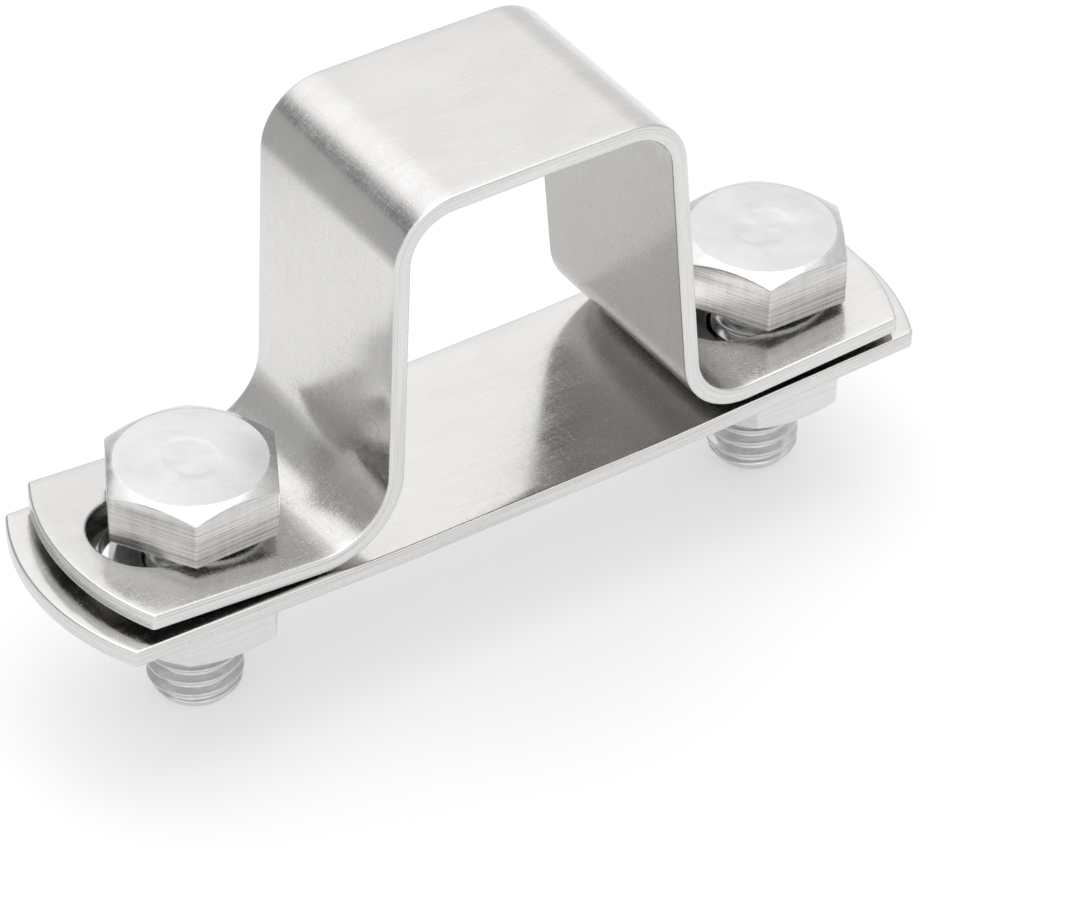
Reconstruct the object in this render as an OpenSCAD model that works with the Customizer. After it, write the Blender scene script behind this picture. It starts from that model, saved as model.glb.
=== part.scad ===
// Square U-bolt clamp in flat strip.
// A bent strip (the U strap) and a flat strip (the back bar) close round a
// square tube. Two hexagon-head screws pass through long slots in both
// strips and carry a hexagon nut each.
// Millimetres, +Z up. Origin: centre of the bar's upper face, which is the
// face that the tube sits on. +X runs along the bar, the passage runs along Y.

/* [Strip] */
// Width of the strap
strap_w = 19; // [18:0.1:20]
// Width of the bar
bar_w = 19.5; // [18.5:0.1:20.5]
// Thickness of the strap
strip_t = 1.4; // [1.2:0.1:1.5]
// Thickness of the bar
bar_t = 1.5; // [1.2:0.1:1.6]
// Radius of the rounded ends of both strips
end_r = 20; // [14:1:40]

/* [U strap] */
// Clear height of the passage, from the bar to the underside of the crown
passage_h = 30.1; // [27:0.1:36]
// Outer width of the crown, measured to the sharp corners before bending
crown_w = 25.8; // [24:0.1:26.4]
// Sideways offset of the crown from the middle of the strap
crown_x = -0.5; // [-0.6:0.1:0]
// Inside radius of the two bends at the crown
bend_r = 3.9; // [3:0.1:4.2]
// Inside radius of the left foot's bend
foot_r_left = 5.5; // [4:0.1:5.6]
// Inside radius of the right foot's bend
foot_r_right = 4.8; // [4:0.1:5]
// Outward lean of the left leg, in degrees
lean_left = 1; // [0:0.5:3]
// Outward lean of the right leg, in degrees
lean_right = 6; // [0:0.5:6]
// How far the left foot rises towards its end, in degrees
tilt_left = 4.3; // [2:0.1:4.5]
// How far the right foot rises towards its end, in degrees
tilt_right = 3; // [2:0.1:3.2]
// Gap between the left bend and the bar before the clamp is tightened
gap_left = 0.15; // [0.05:0.01:0.3]
// Gap between the right bend and the bar before the clamp is tightened
gap_right = 0.4; // [0.05:0.01:0.5]
// Length of the strap over its rounded ends
strap_len = 74; // [73.5:0.5:78]
// Position of the strap along the bar, within the play of the slots
strap_x = 0.2; // [0:0.05:0.3]
// Position of the strap across the bar, within the play of the slots
strap_y = 0.1; // [0:0.05:0.3]
// Turn of the strap on the bar, within the play of the slots, in degrees
strap_turn = -0.5; // [-0.5:0.1:0.1]

/* [Back bar] */
// Length of the bar over its rounded ends
bar_len = 78; // [76:0.5:84]
// Length of the flat middle of the bar, the seat of the tube
seat_len = 25; // [20:1:26]
// How far each end of the bar rises from the seat, in degrees
bar_rise = 1.65; // [1:0.05:1.7]

/* [Slots] */
// Distance between the centres of the two slots
slot_gauge = 54; // [54:0.1:54.4]
// Width of each slot
slot_w = 9; // [8.9:0.1:10]
// Length of each slot in the strap, end to end
slot_len = 14.5; // [14.5:0.1:15]
// Length of each slot in the bar, end to end
bar_slot_len = 12; // [12:0.1:15]

/* [Screws] */
// Diameter over the thread
screw_d = 7.75; // [7.7:0.05:7.85]
// Length of each screw under the head
screw_len = 17.2; // [16:0.1:25]
// Width across the flats of the heads and the nuts
hex_af = 13; // [12.7:0.1:13]
// Height of the head, with its washer face
head_h = 5.3; // [5:0.1:5.6]
// Diameter of the washer face under the head
face_d = 11.6; // [11.2:0.1:11.8]
// Thickness of the washer face under the head
face_t = 0.4; // [0.2:0.1:0.6]
// Position of the left screw along its slots
screw_x_left = 1.65; // [1.3:0.05:1.9]
// Position of the right screw along its slots
screw_x_right = 1.4; // [0.9:0.05:1.9]
// Position of both screws across the slots
screw_y = 0.35; // [0.1:0.05:0.4]
// Turn of the left head about the screw axis, in degrees
turn_left = 1; // [-30:1:30]
// Turn of the right head about the screw axis, in degrees
turn_right = -1; // [-30:1:30]

/* [Nuts] */
// Height of each nut
nut_h = 6.2; // [6:0.1:6.8]
// Diameter of the nut's bore, taken as a plain running fit on the screw
nut_bore_d = 7.85; // [7.85:0.05:8]
// Turn of both nuts about the screw axis, in degrees
nut_turn = -4; // [-30:1:30]

/* [Hidden] */
// gap left between faces that rest on each other
rest_gap = 0.04;
// outside radius of the bends at the crown
out_r = bend_r + strip_t;
// height of the crown's upper face
crown_z = passage_h + strip_t;
// sharp-corner radius of the hexagons
hex_r = hex_af / 2 / cos(30);
// radius where the 30 degree chamfer of a hexagon starts
chamfer_r = 0.93 * hex_af / 2;
// long size that reaches past every solid
far = 80;
// flats that each bend is made of
bend_steps = 20;
$fn = 96;

// outline of a strip seen from above: straight sides and convex ends
module strip_outline(len, w) {
    mid = len / 2 - end_r;
    intersection() {
        square([len + 2, w], center = true);
        union() {
            square([2 * mid, 2 * w], center = true);
            for (side = [-1, 1]) translate([side * mid, 0]) circle(r = end_r, $fn = 180);
        }
    }
}

// one long slot through a strip, along X
module slot_cut(x, len) {
    run = len / 2 - slot_w / 2;
    translate([x - run, -slot_w / 2, -far / 4]) cube([2 * run, slot_w, far / 2]);
    for (side = [-1, 1])
        translate([x + side * run, 0, -far / 4]) cylinder(d = slot_w, h = far / 2);
}

// points along an arc, from angle a0 to angle a1
function arc_points(c, r, a0, a1) =
    [for (i = [0 : bend_steps]) c + r * [cos(a0 + (a1 - a0) * i / bend_steps), sin(a0 + (a1 - a0) * i / bend_steps)]];
function reversed(v) = [for (i = [len(v) - 1 : -1 : 0]) v[i]];
function mirrored(v) = [for (p = reversed(v)) [-p[0], p[1]]];

// height of the bar's upper face at a distance x from its middle
function bar_z(x) = max(0, abs(x) - seat_len / 2) * tan(bar_rise);

// centre of the crown's bend on the left half, for a leg that leans outward by b
function top_centre(b) = [-crown_w / 2 + out_r * (1 - sin(b)) / cos(b), crown_z - out_r];

// centre of the foot's bend on the left half, for an inside radius r at the
// height z
function foot_centre(b, r, z) = [
    top_centre(b)[0] - (r + out_r + (top_centre(b)[1] - z) * sin(b)) / cos(b), z];

// the two feet: [lean of the leg, rise of the foot, inside radius, centre of the bend]
foot_left = let (r = foot_r_left, z = r + strip_t + gap_left + bar_z(19.2))
    [lean_left, tilt_left, r, foot_centre(lean_left, r, z)];
foot_right = let (r = foot_r_right, z = r + strip_t + gap_right + bar_z(20.1))
    [lean_right, tilt_right, r, foot_centre(lean_right, r, z)];

// one face of the strap in the XZ plane, from the end of a foot to the
// crown: add_f and add_t are what this face adds to the radius of the
// foot's bend and of the crown's bend
function half_face(f, add_f, add_t) = concat(
    [f[3] - (f[2] + add_f) * [sin(f[1]), cos(f[1])] + far / 2 * [-cos(f[1]), sin(f[1])]],
    arc_points(f[3], f[2] + add_f, -90 - f[1], -f[0]),
    arc_points(top_centre(f[0]), bend_r + add_t, 180 - f[0], 90));

// section of the whole strap in the XZ plane
module strap_section() {
    upper = concat(half_face(foot_left, 0, strip_t), mirrored(half_face(foot_right, 0, strip_t)));
    lower = concat(half_face(foot_left, strip_t, 0), mirrored(half_face(foot_right, strip_t, 0)));
    polygon(concat(upper, reversed(lower)));
}

module u_strap() {
    color("gainsboro")
    translate([strap_x, strap_y, 0]) rotate([0, 0, strap_turn])
    difference() {
        intersection() {
            rotate([90, 0, 0]) linear_extrude(height = 2 * strap_w, center = true)
                translate([crown_x, 0]) strap_section();
            translate([0, 0, -1]) linear_extrude(height = far) strip_outline(strap_len, strap_w);
        }
        slot_cut(-slot_gauge / 2, slot_len);
        slot_cut(slot_gauge / 2, slot_len);
    }
}

// section of the bar in the XZ plane: a flat seat and two ends that rise a little
module bar_section() {
    face = [[-far, bar_z(far)], [-seat_len / 2, 0], [seat_len / 2, 0], [far, bar_z(far)]];
    polygon(concat(face, reversed([for (p = face) p - [0, bar_t]])));
}

module back_bar() {
    color("lightgray")
    difference() {
        intersection() {
            rotate([90, 0, 0]) linear_extrude(height = 2 * bar_w, center = true) bar_section();
            translate([0, 0, -far / 2]) linear_extrude(height = far) strip_outline(bar_len, bar_w);
        }
        slot_cut(-slot_gauge / 2, bar_slot_len);
        slot_cut(slot_gauge / 2, bar_slot_len);
    }
}

// hexagon prism from z = 0 to z = h, chamfered at 30 degrees at the top and,
// if both is true, at the bottom too
module chamfered_hex(h, both) {
    drop = (hex_r + 1 - chamfer_r) * tan(30);
    low = both ? drop : 0;
    in_r = both ? chamfer_r : hex_r + 1;
    intersection() {
        cylinder(r = hex_r, h = h, $fn = 6);
        rotate_extrude()
            polygon([[0, 0], [in_r, 0], [hex_r + 1, low], [hex_r + 1, h - drop], [chamfer_r, h], [0, h]]);
    }
}

// screw with its axis on Z and its washer face at z = 0
module hex_screw() {
    r = screw_d / 2;
    lead = 1.1;
    translate([0, 0, face_t]) chamfered_hex(head_h - face_t, false);
    cylinder(d = face_d, h = face_t + 0.1);
    translate([0, 0, -screw_len + lead]) cylinder(r = r, h = screw_len - lead + 0.1);
    translate([0, 0, -screw_len]) cylinder(r1 = r - 0.8, r2 = r, h = lead);
}

// nut with its axis on Z and its upper face at z = 0
module hex_nut() {
    r = nut_bore_d / 2;
    lead = 0.5;
    difference() {
        translate([0, 0, -nut_h]) chamfered_hex(nut_h, true);
        translate([0, 0, -nut_h - 1]) cylinder(r = r, h = nut_h + 2);
        translate([0, 0, -lead]) cylinder(r1 = r, r2 = r + 2 * lead, h = 2 * lead);
        translate([0, 0, -nut_h - lead]) cylinder(r1 = r + 2 * lead, r2 = r, h = 2 * lead);
    }
}

// distance of a screw's axis from the middle of the bar
function axis_x(side) = side * slot_gauge / 2 + (side < 0 ? screw_x_left : screw_x_right);

// distance from the screw's axis to where the washer face's rim stands on the
// foot: beside the slot on the left, at the end of the slot on the right
function rim_x(side) = side < 0 ? sqrt(pow(face_d / 2, 2) - pow(slot_w / 2, 2)) : face_d / 2;

// height of a foot's upper face under that point of the rim
function foot_top(side) = let (f = side < 0 ? foot_left : foot_right,
        run = abs(axis_x(side)) + rim_x(side) - abs(f[3][0] - side * (crown_x + strap_x)))
    f[3][1] - f[2] / cos(f[1]) + run * tan(f[1]);

// height of the bar's lower face where the inner rim of the nut meets it
function nut_top(side) = bar_z(abs(axis_x(side)) - hex_r) - bar_t;

module place_screw(side, turn) {
    translate([axis_x(side), screw_y, foot_top(side) + rest_gap])
        rotate([0, 0, turn]) hex_screw();
}

module place_nut(side) {
    translate([axis_x(side), screw_y, nut_top(side) - rest_gap])
        rotate([0, 0, nut_turn]) hex_nut();
}

module screw_left() { color("silver") place_screw(-1, turn_left); }
module screw_right() { color("silver") place_screw(1, turn_right); }
module nut_left() { color("whitesmoke") place_nut(-1); }
module nut_right() { color("whitesmoke") place_nut(1); }

u_strap();
back_bar();
screw_left();
screw_right();
nut_left();
nut_right();
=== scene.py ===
"""Square U-bolt clamp in stainless strip: the looks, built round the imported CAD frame."""
import math
from math import atan2, cos, pi, radians, sin, sqrt, tan

import bpy
import bmesh
import numpy as np
from mathutils import Matrix, Vector
from mathutils.geometry import delaunay_2d_cdt


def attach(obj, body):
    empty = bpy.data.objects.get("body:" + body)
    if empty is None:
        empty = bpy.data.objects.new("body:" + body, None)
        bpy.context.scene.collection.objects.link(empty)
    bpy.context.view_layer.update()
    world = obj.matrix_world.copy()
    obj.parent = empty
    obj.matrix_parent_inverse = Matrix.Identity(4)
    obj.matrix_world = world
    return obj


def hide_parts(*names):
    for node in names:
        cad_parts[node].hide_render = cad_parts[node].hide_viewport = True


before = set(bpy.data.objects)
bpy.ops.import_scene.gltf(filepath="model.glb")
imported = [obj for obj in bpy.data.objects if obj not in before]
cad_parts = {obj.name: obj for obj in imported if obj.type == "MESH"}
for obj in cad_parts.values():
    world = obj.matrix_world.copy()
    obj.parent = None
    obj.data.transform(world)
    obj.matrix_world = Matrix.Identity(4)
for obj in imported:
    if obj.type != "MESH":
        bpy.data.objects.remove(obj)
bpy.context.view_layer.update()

MM = 0.001

# ---------------------------------------------------------------- dimensions, mm (the same as the CAD's)
STRAP_W, STRAP_T, STRAP_LEN = 19.0, 1.4, 74.0
BAR_W, BAR_T, BAR_LEN = 19.5, 1.5, 78.0
END_R = 20.0
PASSAGE_H, CROWN_W, CROWN_X, BEND_R = 30.1, 25.8, -0.5, 3.9
LEAN_L, LEAN_R, TILT_L, TILT_R = 1.0, 6.0, 4.3, 3.0
FOOT_R_L, FOOT_R_R, GAP_L, GAP_R = 5.5, 4.8, 0.15, 0.4
STRAP_X, STRAP_Y, STRAP_TURN = 0.2, 0.1, -0.5
SEAT_LEN, BAR_RISE = 25.0, 1.65
SLOT_GAUGE, SLOT_W, SLOT_LEN, BAR_SLOT_LEN = 54.0, 9.0, 14.5, 12.0
HEX_AF, HEAD_H, FACE_D, FACE_T = 13.0, 5.3, 11.6, 0.4
SCREW_LEN, NUT_H, PITCH = 17.2, 6.2, 1.25
HEAD_TURN = {"left": 1.0, "right": -1.0}
NUT_TURN = -4.0
OUT_R = BEND_R + STRAP_T
CROWN_Z = PASSAGE_H + STRAP_T


# ---------------------------------------------------------------- small helpers
def bar_z(x):
    return max(0.0, abs(x) - SEAT_LEN / 2) * tan(radians(BAR_RISE))


def wave(*terms):
    """A fixed sum of sines of (a, b): each term is (amplitude, ka, kb, phase)."""
    def f(a, b):
        return sum(m * sin(ka * a + kb * b + p) for m, ka, kb, p in terms)
    return f


def new_object(name, verts, faces, mats, face_mats=None, attrs=None, smooth=True):
    me = bpy.data.meshes.new(name)
    me.from_pydata([tuple(c * MM for c in v) for v in verts], [], faces)
    for m in mats:
        me.materials.append(m)
    if face_mats is not None:
        me.polygons.foreach_set("material_index", face_mats)
    me.polygons.foreach_set("use_smooth", [smooth] * len(me.polygons))
    for key, values in (attrs or {}).items():
        a = me.attributes.new(key, "FLOAT_VECTOR", "POINT")
        a.data.foreach_set("vector", np.asarray(values, np.float32).ravel())
    me.validate(clean_customdata=False)
    me.update()
    ob = bpy.data.objects.new(name, me)
    bpy.context.scene.collection.objects.link(ob)
    return ob


# ---------------------------------------------------------------- strips
class Path:
    """The middle line of a strip in the XZ plane: s, point, upward normal."""

    def __init__(self, pts):
        self.p = np.array([(x, z) for x, z, _, _ in pts])
        self.n = np.array([(nx, nz) for _, _, nx, nz in pts])
        d = np.hypot(*np.diff(self.p, axis=0).T)
        self.s = np.concatenate([[0], np.cumsum(d)])

    def at(self, s):
        x, z = (np.interp(s, self.s, self.p[:, k]) for k in (0, 1))
        nx, nz = (np.interp(s, self.s, self.n[:, k]) for k in (0, 1))
        m = sqrt(nx * nx + nz * nz)
        return x, z, nx / m, nz / m

    def s_of_x(self, x, lo, hi):
        """s where the line crosses x, searched between s = lo and s = hi."""
        k = (self.s >= lo - 1e-9) & (self.s <= hi + 1e-9)
        return float(np.interp(x, self.p[k, 0], self.s[k]))


def half_path(lean, tilt, r, gap, x_ref):
    """Left half of the strap, from past the foot's end to the middle of the crown."""
    b, a = radians(lean), radians(tilt)
    zc = r + STRAP_T + gap + bar_z(x_ref)
    tc = (-CROWN_W / 2 + OUT_R * (1 - sin(b)) / cos(b), CROWN_Z - OUT_R)
    fc = (tc[0] - (r + OUT_R + (tc[1] - zc) * sin(b)) / cos(b), zc)
    rm, tm = r + STRAP_T / 2, OUT_R - STRAP_T / 2
    out = []
    n = (sin(a), cos(a))
    start = (fc[0] - rm * n[0], fc[1] - rm * n[1])
    for k in range(41):
        d = 22 * (1 - k / 40)
        out.append((start[0] - d * cos(a), start[1] + d * sin(a), *n))
    bends = [len(out) - 1]
    for k in range(1, 61):
        f = radians(-90 - tilt) + (radians(-lean) - radians(-90 - tilt)) * k / 60
        out.append((fc[0] + rm * cos(f), fc[1] + rm * sin(f), -cos(f), -sin(f)))
    bends.append(len(out) - 1)
    top = (tc[0] + tm * cos(pi - b), tc[1] + tm * sin(pi - b))
    last = out[-1]
    for k in range(1, 21):
        out.append((last[0] + (top[0] - last[0]) * k / 20, last[1] + (top[1] - last[1]) * k / 20, -cos(b), sin(b)))
    bends.append(len(out) - 1)
    for k in range(1, 61):
        f = pi - b + (pi / 2 - (pi - b)) * k / 60
        out.append((tc[0] + tm * cos(f), tc[1] + tm * sin(f), cos(f), sin(f)))
    bends.append(len(out) - 1)
    last = out[-1]
    for k in range(1, 11):
        out.append((last[0] * (1 - k / 10), last[1], 0.0, 1.0))
    return out, bends


def strap_path():
    left, bl = half_path(LEAN_L, TILT_L, FOOT_R_L, GAP_L, 19.2)
    right, br = half_path(LEAN_R, TILT_R, FOOT_R_R, GAP_R, 20.1)
    right = [(-x, z, -nx, nz) for x, z, nx, nz in reversed(right)]
    total = len(left) + len(right) - 1
    pts = [(x + CROWN_X, z, nx, nz) for x, z, nx, nz in left + right[1:]]
    path = Path(pts)
    marks = [path.s[k] for k in bl] + [path.s[total - 1 - k] for k in reversed(br)]
    return path, marks


def bar_path():
    pts, half, ramp = [], SEAT_LEN / 2, 3.0
    g = tan(radians(BAR_RISE))
    xs = np.linspace(-41, 41, 411)
    for x in xs:
        u = abs(x) - half
        if u <= -ramp:
            z, k = 0.0, 0.0
        elif u >= ramp:
            z, k = u * g, g
        else:
            z, k = g * (u + ramp) ** 2 / (4 * ramp), g * (u + ramp) / (2 * ramp)
        m = sqrt(1 + k * k)
        sx = -1 if x > 0 else 1
        nx, nz = sx * k / m, 1 / m
        pts.append((x - nx * BAR_T / 2, z - nz * BAR_T / 2, nx, nz))
    return Path(pts)


def outline(length, width, corner=0.45):
    """Plan of a strip, counter-clockwise, as runs of (x, w, nx, nw); the straight sides are left out."""
    xc = length / 2 - END_R
    fx = xc + sqrt((END_R - corner) ** 2 - (width / 2 - corner) ** 2)
    fw = width / 2 - corner
    t = atan2(fw, fx - xc)
    right = []
    for k in range(7):
        f = -pi / 2 + (pi / 2 - t) * k / 6
        right.append((fx + corner * cos(f), -fw + corner * sin(f), cos(f), sin(f)))
    for k in range(1, 36):
        f = -t + 2 * t * k / 36
        right.append((xc + END_R * cos(f), END_R * sin(f), cos(f), sin(f)))
    for k in range(7):
        f = t + (pi / 2 - t) * k / 6
        right.append((fx + corner * cos(f), fw + corner * sin(f), cos(f), sin(f)))
    left = [(-x, -w, -nx, -nw) for x, w, nx, nw in right]
    return right, left


def slot_loop(xc, length):
    """One slot, clockwise, with normals that point into the hole."""
    out, run, r = [], length / 2 - SLOT_W / 2, SLOT_W / 2
    for side in (1, -1):
        for k in range(29):
            f = pi / 2 - pi * k / 28 if side == 1 else -pi / 2 - pi * k / 28
            out.append((xc + side * run + r * cos(f), r * sin(f), -cos(f), -sin(f)))
        for k in range(1, 8):
            u = side * (run - 2 * run * k / 8)
            out.append((xc + u, -side * r, 0.0, side * 1.0))
    return out


# a sheared edge: rolled-over upper corner, burnished band, small ledge, torn band, burr.
# pairs of (offset from the outline, share of the thickness from the middle)
EDGE = [(-0.26, 1.0), (-0.17, 0.985), (-0.10, 0.945), (-0.045, 0.88), (-0.012, 0.79), (0.0, 0.68),
        (0.0, 0.50), (-0.03, 0.44), (-0.052, 0.40), (-0.048, 0.30), (-0.035, 0.0), (-0.03, -0.5),
        (-0.035, -0.8), (-0.05, -0.9), (-0.08, -0.965), (-0.13, -0.995), (-0.26, -1.0)]


def strip_mesh(name, path, length, width, thick, slot_len, mats, bump, rows_extra, finish):
    """A bent strip with rounded ends and two slots. bump(s, w) is how far the sheet waves, mm."""
    ends_r, ends_l = outline(length, width)
    s_end = path.s[-1]
    lo_s = lambda x: path.s_of_x(x, 0, s_left_max)
    hi_s = lambda x: path.s_of_x(x, s_right_min, s_end)
    # the flat feet run from each end of the path to where x stops growing outward
    s_left_max = float(path.s[np.argmax(path.p[:, 0] > -SLOT_GAUGE / 2 + SLOT_LEN / 2 + 1.8)])
    s_right_min = float(path.s[len(path.s) - 1 - np.argmax(path.p[::-1, 0] < SLOT_GAUGE / 2 - SLOT_LEN / 2 - 1.8)])
    s_a, s_b = s_left_max - 0.6, s_right_min + 0.6
    inset = -EDGE[0][0]

    # rows of the middle part, finer in the bends
    marks = sorted({s_a, s_b, *[m for m in rows_extra if s_a < m < s_b]})
    rows = []
    for u, v in zip(marks, marks[1:]):
        m = path.at((u + v) / 2)
        n0, n1 = path.at(u + 1e-4), path.at(v - 1e-4)
        ang = abs(atan2(n0[2], n0[3]) - atan2(n1[2], n1[3]))
        k = max(int(math.ceil((v - u) / 0.75)), int(math.ceil(ang / radians(3.6))), 1)
        rows += [u + (v - u) * i / k for i in range(k)]
    rows.append(s_b)
    cols_n = 26
    cols = [(-width / 2 + inset) + (width - 2 * inset) * j / cols_n for j in range(cols_n + 1)]

    dom, edges_of = [], []          # the sheet's points in (s, w)
    index = {}

    def add(s, w):
        key = (round(s, 6), round(w, 6))
        if key not in index:
            index[key] = len(dom)
            dom.append((s, w))
        return index[key]

    faces = []
    for i in range(len(rows) - 1):
        for j in range(cols_n):
            a, b = add(rows[i], cols[j]), add(rows[i + 1], cols[j])
            c, d = add(rows[i + 1], cols[j + 1]), add(rows[i], cols[j + 1])
            faces.append((a, b, c, d))

    def side_rows(s0, s1):
        k = max(1, int(round(abs(s1 - s0) / 0.75)))
        return [s0 + (s1 - s0) * i / k for i in range(k + 1)]

    loops = []                      # closed rims: lists of (s, w, ns, nw)
    foot_info = []
    for side in (-1, 1):
        conv = lo_s if side < 0 else hi_s
        arc = [(conv(x), w, nx, nw) for x, w, nx, nw in (ends_l if side < 0 else ends_r)]
        s_in = s_a if side < 0 else s_b
        # counter-clockwise: right end goes from -w to +w, left end from +w to -w
        first, last = arc[0], arc[-1]
        lead = [(s, first[1], 0.0, first[3]) for s in side_rows(s_in, first[0])[:-1]]
        tail = [(s, last[1], 0.0, last[3]) for s in side_rows(last[0], s_in)[1:]]
        lead = [(s, w, 0.0, (1 if w > 0 else -1)) for s, w, _, _ in lead]
        tail = [(s, w, 0.0, (1 if w > 0 else -1)) for s, w, _, _ in tail]
        run = lead + arc + tail
        slot = [(conv(x), w, nx, nw) for x, w, nx, nw in slot_loop(side * SLOT_GAUGE / 2, slot_len)]
        foot_info.append((side, run, slot, s_in))
        loops.append(("slot", slot))
    left_run = foot_info[0][1]
    right_run = foot_info[1][1]
    # whole outer rim, counter-clockwise: right foot, upper side back, left foot, lower side forward
    upper = [(s, width / 2, 0.0, 1.0) for s in reversed(rows[1:-1])]
    lower = [(s, -width / 2, 0.0, -1.0) for s in rows[1:-1]]
    loops.append(("outer", right_run + upper + left_run + lower))

    for side, run, slot, s_in in foot_info:
        pts = [(s - ns * inset, w - nw * inset) for s, w, ns, nw in run]
        # close the ring along the row that joins the middle part
        inner = [(s_in, c) for c in cols[1:-1]]
        ring = pts + (inner[::-1] if side > 0 else inner)
        hole = [(s - ns * inset, w - nw * inset) for s, w, ns, nw in slot]
        vin, edges = [], []
        for loop in (ring, hole):
            o = len(vin)
            vin += loop
            edges += [(o + k, o + (k + 1) % len(loop)) for k in range(len(loop))]
        # inner points on the grid, away from the rims
        rim = np.array(vin)
        s_lo, s_hi = min(rim[:, 0]), max(rim[:, 0])
        n_s = int(round((s_hi - s_lo) / 0.75))
        hx, rr = side * SLOT_GAUGE / 2, SLOT_W / 2 + inset
        sc, half = (path.s_of_x(hx, 0, s_left_max) if side < 0 else path.s_of_x(hx, s_right_min, s_end)), slot_len / 2 - SLOT_W / 2
        for i in range(1, n_s):
            s = s_in + (s_hi - s_in if side > 0 else s_lo - s_in) * i / n_s
            for c in cols[1:-1]:
                d = np.hypot(rim[:, 0] - s, rim[:, 1] - c).min()
                inside_slot = max(0.0, abs(s - sc) - half) ** 2 + c * c < rr * rr
                xq = path.at(s)[0]
                xe = length / 2 - END_R
                inside_end = abs(xq) < xe or (abs(xq) - xe) ** 2 + c * c < (END_R - inset) ** 2
                if d > 0.42 and not inside_slot and inside_end:
                    vin.append((s, c))
        v2, _, f2, orig, _, _ = delaunay_2d_cdt([Vector(q) for q in vin], edges, [], 1, 1e-5)
        ids = []
        for k, v in enumerate(v2):
            o = orig[k][0] if orig[k] else None
            q = vin[o] if o is not None else v
            ids.append(add(q[0], q[1]))
        on_hole = [bool(o) and len(ring) <= o[0] < len(ring) + len(hole) for o in orig]
        for f in f2:
            if all(on_hole[k] for k in f):      # the slot is convex, so this one lies in it
                continue
            g = [ids[k] for k in f]
            area = sum(dom[g[k]][0] * dom[g[(k + 1) % len(g)]][1] - dom[g[(k + 1) % len(g)]][0] * dom[g[k]][1] for k in range(len(g)))
            if abs(area) < 1e-9:
                continue
            faces.append(tuple(g if area > 0 else g[::-1]))

    verts, dev, flist, fmat = [], [], [], []

    def place(s, w, h):
        x, z, nx, nz = path.at(s)
        u = h + bump(s, w)
        return finish((x + nx * u, w, z + nz * u))

    half_t = thick / 2
    n0 = len(dom)
    for h in (half_t, -half_t):
        for s, w in dom:
            verts.append(place(s, w, h))
            dev.append((s, w, h))
    for f in faces:
        flist.append(tuple(f))
        fmat.append(0)
    for f in faces:
        flist.append(tuple(n0 + k for k in reversed(f)))
        fmat.append(0)
    for kind, loop in loops:
        n = len(loop)
        prev = [index[(round(s - ns * inset, 6), round(w - nw * inset, 6))] for s, w, ns, nw in loop]
        base = list(prev)
        along = 0.0
        for e, (off, share) in enumerate(EDGE[1:], 1):
            if e == len(EDGE) - 1:
                cur = [k + n0 for k in base]
            else:
                cur = []
                for k, (s, w, ns, nw) in enumerate(loop):
                    cur.append(len(verts))
                    verts.append(place(s + ns * off, w + nw * off, share * half_t))
                    dev.append((s + ns * 3 * (e / len(EDGE)), w + nw * 3 * (e / len(EDGE)), share * half_t))
            for k in range(n):
                a, b = prev[k], prev[(k + 1) % n]
                c, d = cur[(k + 1) % n], cur[k]
                flist.append((a, d, c, b))
                fmat.append(1 if 3 <= e <= len(EDGE) - 3 else 0)
            prev = cur
    ob = new_object(name, verts, flist, mats, fmat, {"dev": dev})
    return ob


# ---------------------------------------------------------------- screws and nuts
def ring_angles():
    """Angles round a hexagon, closer together at its rounded corners, as degrees from 0 to 360."""
    out = []
    for k in range(6):
        out += [60 * k + d for d in (-1.5, -1.16, -0.8, -0.4, 0, 0.4, 0.8, 1.16, 1.5)]
        out += [60 * k + 1.5 + 57 * j / 18 for j in range(1, 18)]
    return np.radians(np.array(out))


ANG = ring_angles()
N = len(ANG)


def hex_radius(f, af=HEX_AF, rho=0.3):
    d = (math.degrees(f) + 30) % 60 - 30
    d = radians(abs(d))
    c = (af / 2 - rho) / cos(radians(30))
    t = atan2(rho * 0.5, c + rho * cos(radians(30)))
    if d < t:
        return c * cos(d) + sqrt(max(0.0, rho * rho - (c * sin(d)) ** 2))
    return af / 2 / cos(radians(30) - d)


CREST = [(0.0, 3.85), (0.05, 3.848), (0.085, 3.832), (0.12, 3.785), (0.22, 3.612), (0.32, 3.438),
         (0.40, 3.30), (0.45, 3.235), (0.52, 3.20), (0.625, 3.195)]
LEVELS = [u for u, _ in CREST] + [PITCH - u for u, _ in CREST[-2:0:-1]]


def crest_radius(u):
    u = u % PITCH
    u = min(u, PITCH - u)
    return float(np.interp(u, [a for a, _ in CREST], [b for _, b in CREST]))


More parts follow.
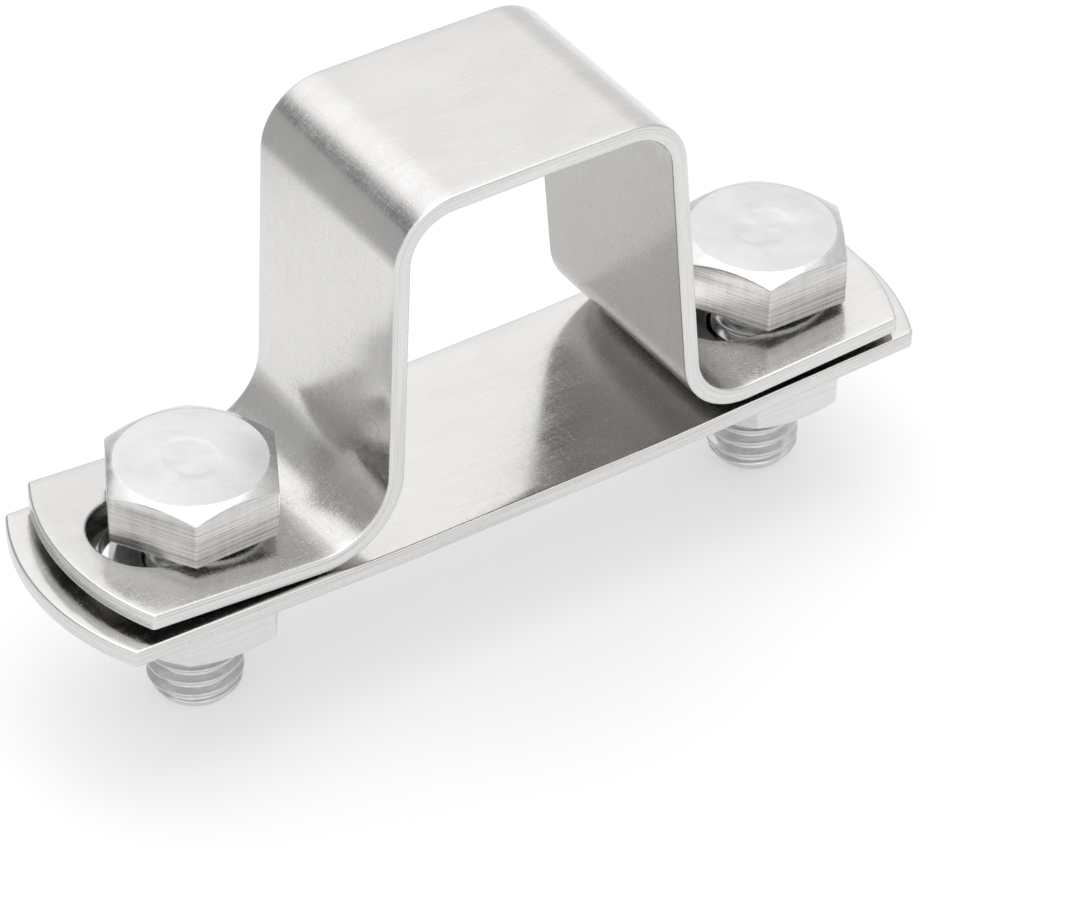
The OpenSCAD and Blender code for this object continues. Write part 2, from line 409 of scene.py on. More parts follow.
class Builder:
    def __init__(self):
        self.v, self.f, self.m = [], [], []

    def ring(self, radii, zs):
        """One ring of N points; radii and zs are numbers or lists."""
        o = len(self.v)
        for i, f in enumerate(ANG):
            r = radii[i] if hasattr(radii, "__len__") else radii
            z = zs[i] if hasattr(zs, "__len__") else zs
            self.v.append((r * cos(f), r * sin(f), z))
        return list(range(o, o + N))

    def band(self, a, b, mat):
        """Faces between ring a and the ring after it; a walk from the top centre outward and down faces out."""
        for i in range(N):
            k = (i + 1) % N
            self.f.append((a[i], b[i], b[k], a[k]))
            self.m.append(mat)

    def cap(self, ring, z, up, mat):
        o = len(self.v)
        self.v.append((0.0, 0.0, z))
        for i in range(N):
            k = (i + 1) % N
            self.f.append((o, ring[i], ring[k]) if up else (o, ring[k], ring[i]))
            self.m.append(mat)

    def helix(self, z_top, z_bot, radius, phase, mat, inner=False):
        """Helicoid between two levels. radius(u, z) gets the place across the crest and the height. Returns the two end rings."""
        top = self.ring([radius((z_top - PITCH * f / (2 * pi) - phase), z_top) for f in ANG], z_top)
        bot = self.ring([radius((z_bot - PITCH * f / (2 * pi) - phase), z_bot) for f in ANG], z_bot)
        made = {}

        def vert(i, q, j):
            # i may be N: the next turn's start
            turn = 0
            if i >= N:
                i, turn = i - N, 1
            z = phase + (q + turn) * PITCH + LEVELS[j] + PITCH * ANG[i] / (2 * pi)
            if z >= z_top - 0.012:
                return top[i]
            if z <= z_bot + 0.012:
                return bot[i]
            key = (i, q + turn, j)
            if key not in made:
                r = radius(LEVELS[j], z)
                made[key] = len(self.v)
                self.v.append((r * cos(ANG[i]), r * sin(ANG[i]), z))
            return made[key]

        q0 = int(math.floor((z_bot - phase) / PITCH)) - 2
        q1 = int(math.ceil((z_top - phase) / PITCH)) + 1
        m = len(LEVELS)
        for q in range(q0, q1):
            for j in range(m):
                q2, j2 = (q, j + 1) if j + 1 < m else (q + 1, 0)
                for i in range(N):
                    quad = [vert(i, q, j), vert(i + 1, q, j), vert(i + 1, q2, j2), vert(i, q2, j2)]
                    loop = [a for k, a in enumerate(quad) if a != quad[k - 1]]
                    if len(loop) >= 3 and len(set(loop)) == len(loop):
                        self.f.append(tuple(reversed(loop)) if inner else tuple(loop))
                        self.m.append(mat)
        return top, bot


K30 = tan(radians(30))


def hex_rings(b, z_top, z_bot, cone_top, cone_bot, r_in_top, mats, dome=None, soft=0.15, af=HEX_AF, foot_r=0.18):
    """Rings from a flat top face at radius r_in_top out over the chamfer, down the flats and to the lower edge.

    cone_top and cone_bot are the radii where the chamfers begin; cone_bot None leaves a plain rounded edge."""
    top_m, cone_m, flat_m = mats
    hexr = [hex_radius(f, af) for f in ANG]
    rings = []
    zt = lambda r, f: z_top + (dome(r, f) if dome else 0.0)
    inner = [r_in_top] if not hasattr(r_in_top, "__len__") else list(r_in_top)
    for r in inner:
        rings.append((b.ring(r, [zt(r, f) for f in ANG]), top_m))
    for r in (cone_top - 0.25, cone_top - 0.16, cone_top - 0.12):
        rings.append((b.ring(r, [zt(r, f) for f in ANG]), top_m))
    for dr, dz in ((-0.06, -0.008), (0.0, -0.026), (0.06, -0.052), (0.11, -0.0655)):
        rings.append((b.ring(cone_top + dr, [z_top + dz + (dome(cone_top, f) if dome else 0.0) * 0.5 for f in ANG]), cone_m))
    z_cone = lambda r: z_top - (r - cone_top) * K30
    t = soft * tan(radians(30))
    cr = [r - t * cos(radians(30)) for r in hexr]
    rings.append((b.ring([max(cone_top + 0.13, r - 0.03) for r in cr], [z_cone(max(cone_top + 0.13, r - 0.03)) for r in cr]), cone_m))
    for k in range(6):
        a = radians(60 * k / 5)
        # fillet centre lies soft inside the flat and below the cone
        rr, zz = [], []
        for r in hexr:
            cx, cz = r - soft, z_cone(r) - t
            rr.append(cx + soft * sin(radians(30) + a))
            zz.append(cz + soft * cos(radians(30) + a))
        rings.append((b.ring(rr, zz), cone_m if k < 3 else flat_m))
    z_lo = [z_cone(r) - t for r in hexr]
    if cone_bot is not None:
        z_end = [z_bot + (r - cone_bot) * K30 + t for r in hexr]
    else:
        z_end = [z_bot + foot_r for r in hexr]
    for share in (0.012, 0.2, 0.4, 0.6, 0.8, 0.988):
        rings.append((b.ring(hexr, [u + (v - u) * share for u, v in zip(z_lo, z_end)]), flat_m))
    if cone_bot is not None:
        for k in range(6):
            a = radians(60 * k / 5)
            rr, zz = [], []
            for r in hexr:
                cx, cz = r - soft, z_bot + (r - cone_bot) * K30 + t
                rr.append(cx + soft * cos(a))
                zz.append(cz - soft * sin(a))
            rings.append((b.ring(rr, zz), flat_m if k < 3 else cone_m))
        rings.append((b.ring([max(cone_bot + 0.13, r - 0.03) for r in cr],
                             [z_bot + (max(cone_bot + 0.13, r - 0.03) - cone_bot) * K30 for r in cr]), cone_m))
        for dr, dz in ((0.11, 0.0655), (0.06, 0.052), (0.0, 0.026), (-0.06, 0.008), (-0.12, 0.0), (-0.16, 0.0)):
            rings.append((b.ring(cone_bot + dr, z_bot + dz), cone_m))
    else:
        for k in range(6):
            a = radians(90 * k / 5)
            rings.append((b.ring([r - foot_r + foot_r * cos(a) for r in hexr], z_bot + foot_r - foot_r * sin(a)), flat_m))
        rings.append((b.ring([r - foot_r - 0.03 for r in hexr], z_bot), cone_m))
    for (r1, _), (r2, m2) in zip(rings, rings[1:]):
        b.band(r1, r2, m2)
    return rings[0][0], rings[-1][0]


def screw_mesh(name, x, y, z_face, z_tip, turn, phase, mats, seed):
    """Hexagon screw: forged head with a washer face, thread to a chamfered end."""
    b = Builder()
    top = z_face + HEAD_H
    w1 = wave((0.016, 0.9, 2.0, seed), (0.012, 1.7, 3.0, 2 * seed), (0.010, 0.5, 5.0, seed + 1))
    def dome(r, f):
        dent = 0.035 * (1 - min(1.0, max(0.0, (r + 0.25 * sin(2 * f + seed) - 2.0) / 0.5)))
        return w1(r, f) * min(1.0, r / 2) * 0.8 - dent + 0.03 * max(0.0, 1 - (r / 6.0) ** 2)

    radii = (0.8, 1.4, 1.8, 2.0, 2.15, 2.3, 2.45, 2.6, 2.8, 3.2, 4.0, 4.6, 5.2)
    first, under = hex_rings(b, top, z_face + FACE_T, 6.045, None, radii, (0, 1, 2), dome, soft=0.16)
    b.cap(first, top - 0.008, True, 0)
    rf = FACE_D / 2
    chain = [(rf + 0.06, FACE_T), (rf + 0.02, FACE_T - 0.01), (rf, FACE_T - 0.04), (rf, 0.07), (rf - 0.02, 0.02), (rf - 0.07, 0.0),
             (rf - 0.12, 0.0), (4.3, 0.0), (4.22, 0.0)]
    prev = under
    for r, dz in chain:
        cur = b.ring(r, z_face + dz)
        b.band(prev, cur, 1)
        prev = cur
    for k in range(1, 7):
        a = radians(90 * k / 6)
        cur = b.ring(4.2 - 0.4 * sin(a), z_face - 0.4 + 0.4 * cos(a))
        b.band(prev, cur, 3)
        prev = cur
    z_run = z_face - 0.9

    def radius(u, z):
        r = crest_radius(u)
        lift = max(0.0, min(1.0, (z - (z_run - 1.6)) / 1.6))
        r = max(r, 3.19 + 0.61 * lift) if lift < 1 else 3.8
        r = r + (3.8 - r) * lift ** 3
        return min(r, 3.02 + (z - z_tip) * 0.75)

    t, e = b.helix(z_run, z_tip, radius, phase, 3)
    b.band(prev, t, 3)
    cur = e
    for r, dz in ((2.97, -0.028), (2.9, -0.04), (2.8, -0.04), (1.5, -0.03)):
        nxt = b.ring(r, z_tip + dz)
        b.band(cur, nxt, 4)
        cur = nxt
    b.cap(cur, z_tip - 0.03, False, 4)
    ob = new_object(name, b.v, b.f, mats, b.m, {"dev": b.v})
    place_screwed(ob, x, y, turn)
    return ob


def nut_mesh(name, x, y, z_top, turn, phase, mats, seed):
    b = Builder()
    z_bot = z_top - NUT_H
    first, last = hex_rings(b, z_top, z_bot, 6.0, 6.0, (4.33, 4.4, 4.8, 5.4), (0, 1, 2), None, soft=0.12)
    prev = last
    for r in (5.4, 4.8, 4.4, 4.33):
        cur = b.ring(r, z_bot)
        b.band(prev, cur, 0)
        prev = cur
    low_in = prev

    def radius(u, z):
        r = min(max(crest_radius(u) + 0.09, 3.40), 3.97)
        sink = 4.26 - min(z_top - z, z - z_bot) * 0.8
        return max(r, sink)

    t, e = b.helix(z_top - 0.05, z_bot + 0.05, radius, phase, 3, inner=True)
    b.band(t, first, 1)
    b.band(low_in, e, 1)
    ob = new_object(name, b.v, b.f, mats, b.m, {"dev": b.v})
    place_screwed(ob, x, y, turn)
    return ob


def place_screwed(ob, x, y, turn):
    m = Matrix.Translation((x * MM, y * MM, 0)) @ Matrix.Rotation(radians(turn), 4, "Z")
    ob.data.transform(m)
    ob.data.update()


# ---------------------------------------------------------------- materials
class Mat:
    """Small helper to wire a Principled material that reads the mesh's own mm coordinates."""

    def __init__(self, name, colour, rough, metal=1.0):
        self.m = bpy.data.materials.new(name)
        self.m.use_nodes = True
        self.t = self.m.node_tree
        self.b = next(n for n in self.t.nodes if n.type == "BSDF_PRINCIPLED")
        self.b.inputs["Base Color"].default_value = (*colour, 1)
        self.b.inputs["Metallic"].default_value = metal
        self.b.inputs["Roughness"].default_value = rough
        a = self.new("ShaderNodeAttribute")
        a.attribute_name = "dev"
        self.dev = a.outputs["Vector"]

    def new(self, kind, **props):
        n = self.t.nodes.new(kind)
        for k, v in props.items():
            setattr(n, k, v)
        return n

    def link(self, a, b):
        self.t.links.new(a, b)

    def scaled(self, sx, sy, sz, rot=0.0, shift=(0, 0, 0)):
        n = self.new("ShaderNodeMapping")
        n.inputs["Scale"].default_value = (sx, sy, sz)
        n.inputs["Rotation"].default_value = (0, 0, rot)
        n.inputs["Location"].default_value = shift
        self.link(self.dev, n.inputs["Vector"])
        return n.outputs["Vector"]

    def noise(self, vec, detail=3.0, rough=0.5, distort=0.0):
        n = self.new("ShaderNodeTexNoise")
        n.inputs["Scale"].default_value = 1.0
        n.inputs["Detail"].default_value = detail
        n.inputs["Roughness"].default_value = rough
        n.inputs["Distortion"].default_value = distort
        self.link(vec, n.inputs["Vector"])
        return n.outputs[0]

    def span(self, v, a, b, c, d, clamp=True):
        n = self.new("ShaderNodeMapRange", clamp=clamp)
        for k, x in zip(("From Min", "From Max", "To Min", "To Max"), (a, b, c, d)):
            n.inputs[k].default_value = x
        self.link(v, n.inputs["Value"])
        return n.outputs["Result"]

    def op(self, kind, a, b):
        n = self.new("ShaderNodeMath", operation=kind)
        for k, v in enumerate((a, b)):
            if isinstance(v, (int, float)):
                n.inputs[k].default_value = v
            else:
                self.link(v, n.inputs[k])
        return n.outputs[0]

    def colour(self, v, stops):
        n = self.new("ShaderNodeValToRGB")
        r = n.color_ramp
        r.elements[0].position, r.elements[0].color = stops[0][0], (*stops[0][1], 1)
        r.elements[1].position, r.elements[1].color = stops[-1][0], (*stops[-1][1], 1)
        for p, c in stops[1:-1]:
            e = r.elements.new(p)
            e.color = (*c, 1)
        self.link(v, n.inputs["Fac"])
        return n.outputs["Color"]

    def bump(self, height, distance, strength=1.0, after=None):
        n = self.new("ShaderNodeBump")
        n.inputs["Strength"].default_value = strength
        n.inputs["Distance"].default_value = distance
        self.link(height, n.inputs["Height"])
        if after is not None:
            self.link(after, n.inputs["Normal"])
        return n.outputs["Normal"]

    def out(self, colour=None, rough=None, normal=None):
        for v, k in ((colour, "Base Color"), (rough, "Roughness"), (normal, "Normal")):
            if v is not None:
                self.link(v, self.b.inputs[k])
        return self.m


def rolled(name, base, dark, rough, wide, under=1.0, fleck=1.0):
    """Rolled strip: fine lines along it, a few deeper scratches, handling marks and small pits.

    under is how much darker the lower side's colour is painted than the upper one's, as painted shade."""
    m = Mat(name, base, rough)
    grain = m.noise(m.scaled(0.10, 7.0, 7.0), 4, 0.65)
    fine = m.noise(m.scaled(0.7, 30.0, 30.0), 2, 0.5)
    mottle = m.noise(m.scaled(0.16, 0.3, 0.3), 4, 0.6, 0.4)
    pits = m.noise(m.scaled(6.0, 7.5, 7.5), 2, 0.6)
    specks = m.noise(m.scaled(4.2, 4.6, 4.6, shift=(11, 3, 5)), 0, 0.5)
    split = m.new("ShaderNodeSeparateXYZ")
    m.link(m.dev, split.inputs[0])
    side = m.span(split.outputs[2], -0.3, 0.3, 0.0, 1.0)
    scratch = m.noise(m.scaled(0.12, 3.2, 1.0, rot=0.16, shift=(3, 1, 0)), 1, 0.4, 0.15)
    cross = m.noise(m.scaled(1.7, 0.14, 1.0, rot=0.5, shift=(7, 2, 0)), 1, 0.4, 0.2)
    line_a = m.span(m.op("ABSOLUTE", m.op("SUBTRACT", scratch, 0.5), 0), 0.0, 0.006, 0.0, 1.0)
    line_b = m.span(m.op("ABSOLUTE", m.op("SUBTRACT", cross, 0.5), 0), 0.0, 0.005, 0.0, 1.0)
    lines = m.op("MULTIPLY", line_a, line_b)
    pit = m.span(pits, 0.30, 0.38, 0.0, 1.0)
    h = m.op("ADD", m.op("MULTIPLY", grain, 0.55), m.op("MULTIPLY", fine, 0.18))
    n1 = m.bump(h, 1.6e-5 * wide, 0.5)
    speck = m.span(specks, 0.70, 0.78, 0.0, 1.0)
    h2 = m.op("ADD", m.op("MULTIPLY", lines, 0.12 + 0.1 * fleck), m.op("ADD", m.op("MULTIPLY", pit, 0.2 + 0.25 * fleck), m.op("MULTIPLY", speck, 0.7 * fleck)))
    n2 = m.bump(h2, 1.6e-5, 0.6, n1)
    r = m.op("ADD", m.span(mottle, 0.3, 0.7, rough - 0.04, rough + 0.07),
             m.op("MULTIPLY", m.op("SUBTRACT", 1.0, m.op("MULTIPLY", lines, pit)), 0.10))
    c = m.colour(m.op("ADD", m.op("MULTIPLY", mottle, 0.6), m.op("MULTIPLY", grain, 0.4)),
                 [(0.3, dark), (0.62, base)])
    # painted shade: the lower side's colour is multiplied by under, and its pits are darkened further to 0.80
    if under < 1:
        lower_side_shade = m.new("ShaderNodeMix", data_type="RGBA", blend_type="MULTIPLY")
        lower_side_shade.inputs[0].default_value = 1.0
        m.link(c, lower_side_shade.inputs[6])
        m.link(m.colour(side, [(0.0, (under * 1.01, under, under * 0.985)), (1.0, (1.0, 1.0, 1.0))]), lower_side_shade.inputs[7])
        spot = m.new("ShaderNodeMix", data_type="RGBA", blend_type="MULTIPLY")
        spot.inputs[0].default_value = 1.0
        m.link(lower_side_shade.outputs[2], spot.inputs[6])
        m.link(m.colour(m.op("MAXIMUM", pit, side), [(0.0, (0.80, 0.79, 0.78)), (1.0, (1.0, 1.0, 1.0))]), spot.inputs[7])
        c = spot.outputs[2]
    return m.out(c, r, n2)


def sheared(name, base, dark, rough):
    """Cut edge: fine tearing across the thickness and a few lines along it."""
    m = Mat(name, base, rough)
    tear = m.noise(m.scaled(10.0, 10.0, 2.0), 3, 0.55)
    along = m.noise(m.scaled(0.10, 0.10, 8.0), 3, 0.6)
    big = m.noise(m.scaled(0.5, 0.5, 0.3), 3, 0.5)
    h = m.op("ADD", m.op("MULTIPLY", tear, 0.6), m.op("MULTIPLY", along, 0.5))
    n = m.bump(h, 1.7e-5, 0.6)
    r = m.span(m.op("ADD", m.op("MULTIPLY", tear, 0.5), m.op("MULTIPLY", big, 0.5)), 0.3, 0.7, rough - 0.07, rough + 0.1)
    c = m.colour(m.op("ADD", m.op("MULTIPLY", along, 0.6), m.op("MULTIPLY", tear, 0.4)), [(0.34, dark), (0.58, base)])
    return m.out(c, r, n)


def forged_top(name, base, dark, rough):
    m = Mat(name, base, rough)
    broad = m.noise(m.scaled(0.35, 0.35, 0.35), 3, 0.55)
    grit = m.noise(m.scaled(9, 9, 9), 4, 0.7)
    dents = m.noise(m.scaled(1.1, 1.1, 1.1, shift=(4, 9, 0)), 2, 0.5)
    n1 = m.bump(m.op("ADD", m.op("MULTIPLY", broad, 1.0), m.op("MULTIPLY", dents, 0.3)), 9e-5, 0.5)
    n2 = m.bump(grit, 1.6e-5, 0.6, n1)
    r = m.span(m.op("ADD", m.op("MULTIPLY", grit, 0.4), m.op("MULTIPLY", broad, 0.6)), 0.3, 0.7, rough - 0.07, rough + 0.08)
    c = m.colour(m.op("ADD", m.op("MULTIPLY", grit, 0.5), m.op("MULTIPLY", broad, 0.5)), [(0.32, dark), (0.6, base)])
    return m.out(c, r, n2)


def drawn_flat(name, base, dark, rough, depth=2.2e-5):
    """Wrench flats: lines drawn along the flat, a few deeper ones."""
    m = Mat(name, base, rough)
    lines = m.noise(m.scaled(0.09, 0.09, 9.0), 4, 0.62)
    deep = m.noise(m.scaled(0.05, 0.05, 3.4, shift=(1, 5, 3)), 2, 0.5)
    streak = m.noise(m.scaled(1.4, 1.4, 0.16), 3, 0.6)
    n1 = m.bump(m.op("ADD", m.op("MULTIPLY", lines, 0.7), m.op("MULTIPLY", deep, 0.8)), depth, 0.6)
    n2 = m.bump(streak, 1.2e-5, 0.3, n1)
    r = m.span(m.op("ADD", m.op("MULTIPLY", lines, 0.8), m.op("MULTIPLY", streak, 0.2)), 0.3, 0.7, rough - 0.06, rough + 0.1)
    c = m.colour(m.op("ADD", m.op("MULTIPLY", lines, 0.78), m.op("MULTIPLY", streak, 0.22)), [(0.36, dark), (0.56, base)])
    return m.out(c, r, n2)


def turned(name, base, dark, rough):
    """Chamfers and faces turned round the axis: fine rings."""
    m = Mat(name, base, rough)
    grad = m.new("ShaderNodeVectorMath", operation="LENGTH")
    flat = m.scaled(1, 1, 0)
    m.link(flat, grad.inputs[0])
    comb = m.new("ShaderNodeCombineXYZ")
    m.link(m.op("MULTIPLY", grad.outputs["Value"], 9.0), comb.inputs[0])
    rings = m.noise(comb.outputs[0], 3, 0.6)
    blot = m.noise(m.scaled(0.8, 0.8, 0.8), 3, 0.6)
    n = m.bump(m.op("ADD", m.op("MULTIPLY", rings, 0.6), m.op("MULTIPLY", blot, 0.5)), 1.6e-5, 0.5)
    r = m.span(blot, 0.3, 0.7, rough - 0.05, rough + 0.08)
    c = m.colour(m.op("ADD", m.op("MULTIPLY", rings, 0.4), m.op("MULTIPLY", blot, 0.6)), [(0.32, dark), (0.6, base)])
    return m.out(c, r, n)


def thread_mat(name, base, dark, rough):
    m = Mat(name, base, rough)
    fine = m.noise(m.scaled(3.0, 3.0, 9.0), 4, 0.65)
    spots = m.noise(m.scaled(1.1, 1.1, 1.6), 3, 0.6)
    n = m.bump(m.op("ADD", m.op("MULTIPLY", fine, 0.5), m.op("MULTIPLY", spots, 0.2)), 1.0e-5, 0.5)
    r = m.span(spots, 0.3, 0.7, rough - 0.03, rough + 0.08)
    c = m.colour(m.op("ADD", m.op("MULTIPLY", fine, 0.4), m.op("MULTIPLY", spots, 0.6)), [(0.3, dark), (0.6, base)])
    return m.out(c, r, n)


# the strap's lower side gets 0.66 of its colour: painted shade
STRAP = rolled("strap_rolled_painted_shade_under", (0.71, 0.70, 0.69), (0.65, 0.64, 0.628), 0.18, 0.34, 0.66)
STRAP_EDGE = sheared("strap_sheared_edge", (0.73, 0.725, 0.715), (0.58, 0.575, 0.565), 0.26)
BAR = rolled("bar_rolled", (0.72, 0.71, 0.698), (0.66, 0.648, 0.634), 0.15, 0.26, 1.0, 0.0)
BAR_EDGE = sheared("bar_sheared_edge", (0.71, 0.70, 0.69), (0.57, 0.56, 0.55), 0.27)
HEAD_TOP = forged_top("screw_head_top", (0.71, 0.71, 0.715), (0.63, 0.63, 0.635), 0.36)
HEAD_CONE = turned("screw_head_chamfer", (0.74, 0.74, 0.735), (0.62, 0.62, 0.61), 0.24)
HEAD_FLAT = drawn_flat("screw_head_flat", (0.68, 0.67, 0.66), (0.38, 0.37, 0.36), 0.20, 4.0e-5)
THREAD = thread_mat("screw_thread", (0.68, 0.68, 0.68), (0.57, 0.57, 0.565), 0.17)
TIP = turned("screw_end", (0.70, 0.70, 0.69), (0.56, 0.56, 0.55), 0.32)
NUT_FACE = turned("nut_face", (0.74, 0.74, 0.74), (0.64, 0.64, 0.64), 0.34)
NUT_CONE = turned("nut_chamfer", (0.76, 0.76, 0.76), (0.66, 0.66, 0.66), 0.28)
NUT_FLAT = drawn_flat("nut_flat", (0.75, 0.75, 0.75), (0.66, 0.66, 0.66), 0.40, 1.2e-5)

# ---------------------------------------------------------------- the six pieces
turn = radians(STRAP_TURN)


def strap_place(p):
    x, y, z = p
    return (x * cos(turn) - y * sin(turn) + STRAP_X, x * sin(turn) + y * cos(turn) + STRAP_Y, z)


path, marks = strap_path()
crown_s = (marks[3] + marks[4]) / 2
sag = wave((0.012, 0.09, 0.10, 0.4), (0.008, 0.21, -0.22, 1.9), (0.005, 0.50, 0.31, 4.0))


def strap_wave(s, w):
    """Faint waviness, and a crown that falls away a little to both bends."""
    u = min(1.0, abs(s - crown_s) / ((marks[4] - marks[3]) / 2 + 4))
    return 0.5 * sag(s, w) - 0.13 * u * u * (1 - u) ** 1 * 2 - 0.004


strap = strip_mesh("u_strap_looks", path, STRAP_LEN, STRAP_W, STRAP_T - 0.012, SLOT_LEN, [STRAP, STRAP_EDGE], strap_wave, marks, strap_place)

bpath = bar_path()
wob = wave((0.010, 0.08, 0.12, 2.0), (0.006, 0.24, 0.18, 0.3))
bar = strip_mesh("back_bar_looks", bpath, BAR_LEN, BAR_W, BAR_T - 0.012, BAR_SLOT_LEN, [BAR, BAR_EDGE], lambda s, w: 0.5 * wob(s, w) - 0.004, [], lambda p: p)

SCREWS = {
    "left": dict(x=-25.35, y=0.35, z_face=2.511, z_tip=-14.66, nut=-1.386),
    "right": dict(x=28.4, y=0.35, z_face=2.796, z_tip=-14.37, nut=-1.299),
}
PHASE = {"left": 0.0, "right": 0.5}
made = {}
for side, d in SCREWS.items():
    made["screw_" + side] = screw_mesh("screw_%s_looks" % side, d["x"], d["y"], d["z_face"], d["z_tip"],
                                       HEAD_TURN[side], PHASE[side], [HEAD_TOP, HEAD_CONE, HEAD_FLAT, THREAD, TIP], 1.3 if side == "left" else 4.1)
    shift = PITCH * (NUT_TURN - HEAD_TURN[side]) / 360
    made["nut_" + side] = nut_mesh("nut_%s_looks" % side, d["x"], d["y"], d["nut"] - 0.004, NUT_TURN, PHASE[side] + shift,
                                   [NUT_FACE, NUT_CONE, NUT_FLAT, THREAD], 2.2)

for ob, body, node, slot in (
    (strap, "strap", "u_strap", "strap_steel"),
    (bar, "bar", "back_bar", "bar_steel"),
    (made["screw_left"], "left_screw", "screw_left", "screw_steel"),
    (made["screw_right"], "right_screw", "screw_right", "screw_steel"),
    (made["nut_left"], "left_nut", "nut_left", "nut_steel"),
    (made["nut_right"], "right_nut", "nut_right", "nut_steel"),
):
    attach(ob, body)
    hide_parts(node)

# ---------------------------------------------------------------- studio
scene = bpy.context.scene


def plain(name, colour, rough=0.9, glow=0.0):
    m = Mat(name, colour, rough, 0.0)
    if glow:
        m.b.inputs["Emission Color"].default_value = (1, 1, 1, 1)
        m.b.inputs["Emission Strength"].default_value = glow
    return m.m


def sheet(name, verts, mat):
    me = bpy.data.meshes.new(name)
    me.from_pydata(verts, [], [tuple(range(len(verts)))])
    me.materials.append(mat)
    ob = bpy.data.objects.new(name, me)
    scene.collection.objects.link(ob)
    return ob


FLOOR_Z = -0.01471
floor = sheet("floor", [(-2, -2, FLOOR_Z), (2, -2, FLOOR_Z), (2, 2, FLOOR_Z), (-2, 2, FLOOR_Z)], plain("floor_white", (0.50, 0.50, 0.50), 0.9, 0.42))

# light on the walls: azimuth, elevation, inner and outer half-angle in degrees, level above the base
BASE = 0.74
LOBES = [(82, 62, 15, 50, 0.56), (205, 82, 12, 42, 0.46), (42, 8, 8, 26, 0.14), (188, 40, 14, 38, 0.22), (300, 58, 12, 42, 0.30), (236, 34, 16, 46, 0.35)]
DARK = (134, 14, 14, 36, 0.64)

ft = floor.data.materials[0].node_tree
f_out = next(n for n in ft.nodes if n.type == "OUTPUT_MATERIAL")
f_top = next(n for n in ft.nodes if n.type == "BSDF_PRINCIPLED")
f_geo, f_clear, f_mix = (ft.nodes.new("ShaderNode" + k) for k in ("NewGeometry", "BsdfTransparent", "MixShader"))
ft.links.new(f_geo.outputs["Backfacing"], f_mix.inputs[0])
ft.links.new(f_top.outputs[0], f_mix.inputs[1])
ft.links.new(f_clear.outputs[0], f_mix.inputs[2])
ft.links.new(f_mix.outputs[0], f_out.inputs["Surface"])

world = bpy.data.worlds.new("studio")
scene.world = world
world.use_nodes = True
wt = world.node_tree
bg = next(n for n in wt.nodes if n.type == "BACKGROUND")
tc = wt.nodes.new("ShaderNodeTexCoord")


def toward(az, el):
    """Direction to azimuth az (from +X towards +Y) and elevation el, in degrees."""
    a, e = radians(az), radians(el)
    return cos(e) * cos(a), cos(e) * sin(a), sin(e)


def lobe(total, az, el, inner, outer, level):
    """Adds a soft round patch of light to the studio's walls."""
    dot = wt.nodes.new("ShaderNodeVectorMath")
    dot.operation = "DOT_PRODUCT"
    wt.links.new(tc.outputs["Generated"], dot.inputs[0])
    dot.inputs[1].default_value = toward(az, el)
    mr = wt.nodes.new("ShaderNodeMapRange")
    mr.interpolation_type = "SMOOTHSTEP"
    for k, v in zip(("From Min", "From Max", "To Min", "To Max"), (cos(radians(outer)), cos(radians(inner)), 0.0, level)):
        mr.inputs[k].default_value = v
    wt.links.new(dot.outputs["Value"], mr.inputs["Value"])
    if total is None:
        return mr.outputs["Result"]
    add = wt.nodes.new("ShaderNodeMath")
    add.operation = "ADD"
    wt.links.new(total, add.inputs[0])
    wt.links.new(mr.outputs["Result"], add.inputs[1])
    return add.outputs[0]


light = None
for spec in LOBES:
    light = lobe(light, *spec)
base = wt.nodes.new("ShaderNodeMath")
base.operation = "ADD"
base.inputs[1].default_value = BASE
wt.links.new(light, base.inputs[0])
patch = lobe(None, *DARK)
keep = wt.nodes.new("ShaderNodeMath")
keep.operation = "SUBTRACT"
keep.inputs[0].default_value = 1.0
wt.links.new(patch, keep.inputs[1])
both = wt.nodes.new("ShaderNodeMath")
both.operation = "MULTIPLY"
wt.links.new(base.outputs[0], both.inputs[0])
wt.links.new(keep.outputs[0], both.inputs[1])
wt.links.new(both.outputs[0], bg.inputs["Color"])
bg.inputs["Strength"].default_value = 1.0


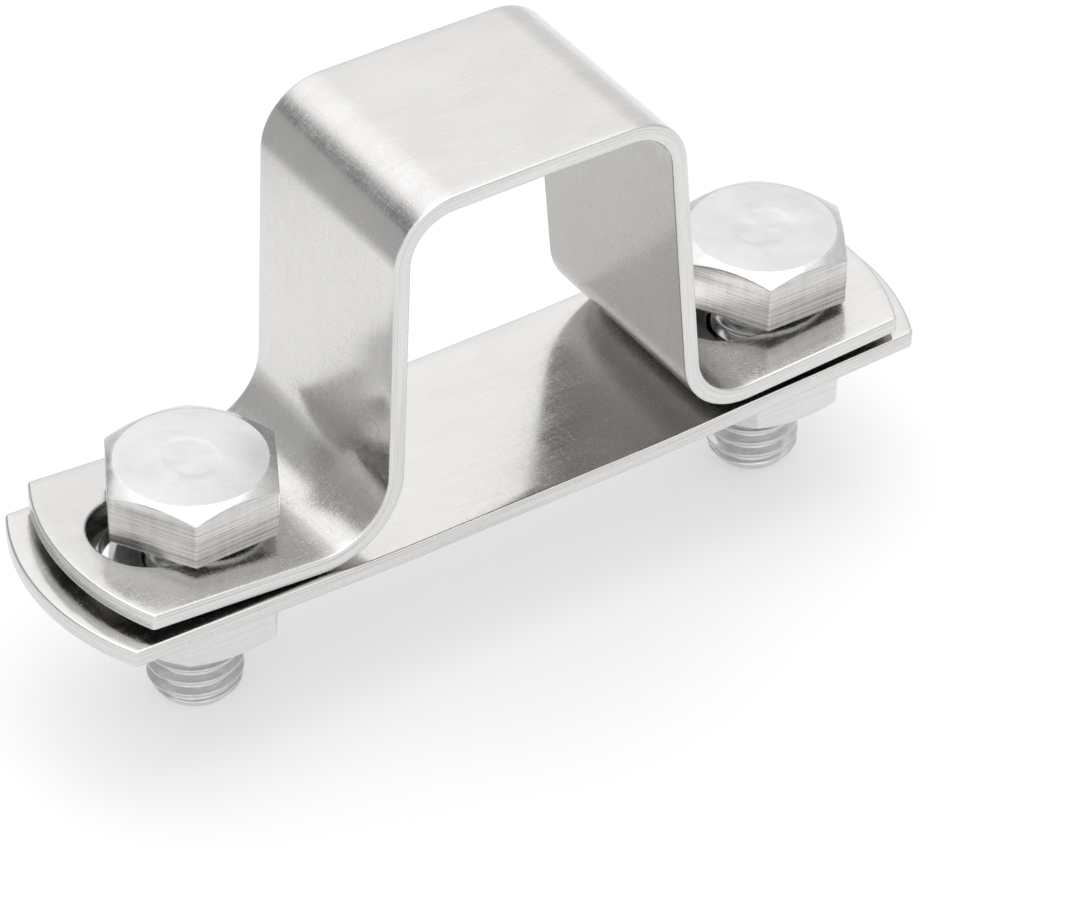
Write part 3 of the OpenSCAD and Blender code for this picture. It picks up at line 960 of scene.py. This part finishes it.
def area(name, where, aim, size, power, colour=(1, 1, 1)):
    l = bpy.data.lights.new(name, "AREA")
    l.shape = "RECTANGLE"
    l.size, l.size_y = size
    l.energy = power
    l.color = colour
    ob = bpy.data.objects.new(name, l)
    ob.location = where
    ob.rotation_euler = (Vector(aim) - Vector(where)).to_track_quat("-Z", "Y").to_euler()
    scene.collection.objects.link(ob)
    return ob


area("top_soft", (0.05, 0.15, 1.0), (0, 0, 0), (0.8, 0.8), 1.5)

# a grey card behind and to the left, which only the bright steel shows
card_mat = bpy.data.materials.new("card_grey")
card_mat.use_nodes = True
ct = card_mat.node_tree
ct.nodes.clear()
geo = ct.nodes.new("ShaderNodeNewGeometry")
cz = ct.nodes.new("ShaderNodeSeparateXYZ")
fade = ct.nodes.new("ShaderNodeMapRange")
glow = ct.nodes.new("ShaderNodeEmission")
cout = ct.nodes.new("ShaderNodeOutputMaterial")
for k, v in zip(("From Min", "From Max", "To Min", "To Max"), (FLOOR_Z, 0.004, 0.92, 0.50)):
    fade.inputs[k].default_value = v
ct.links.new(geo.outputs["Position"], cz.inputs[0])
ct.links.new(cz.outputs["Z"], fade.inputs["Value"])
ct.links.new(fade.outputs["Result"], glow.inputs["Strength"])
ct.links.new(glow.outputs[0], cout.inputs["Surface"])
cx, cy = -0.052, 0.048
ux, uy = sin(radians(129)), -cos(radians(129))
card = sheet("grey_card", [(cx - 0.05 * ux, cy - 0.05 * uy, FLOOR_Z + 0.0005), (cx + 0.035 * ux, cy + 0.035 * uy, FLOOR_Z + 0.0005),
                           (cx + 0.035 * ux, cy + 0.035 * uy, 0.05), (cx - 0.05 * ux, cy - 0.05 * uy, 0.05)],
             card_mat)
card.visible_camera = card.visible_diffuse = card.visible_shadow = False

cam = bpy.data.cameras.new("camera")
cam.sensor_fit = "HORIZONTAL"
cam.sensor_width = 36.0
cam.lens = 184.402
cam.clip_start, cam.clip_end = 0.01, 20.0
rows = ((0.8239800472, -0.5661039772, 0.0241488875),
        (0.3391597772, 0.5269009080, 0.7793241166),
        (-0.4539025527, -0.6339571911, 0.6261555338))
camera = bpy.data.objects.new("camera", cam)
scene.collection.objects.link(camera)
camera.matrix_world = Matrix.Translation((-0.19389691679, -0.28043992355, 0.27080745977)) @ Matrix(rows).transposed().to_4x4()
scene.camera = camera
scene.view_settings.view_transform = "Standard"
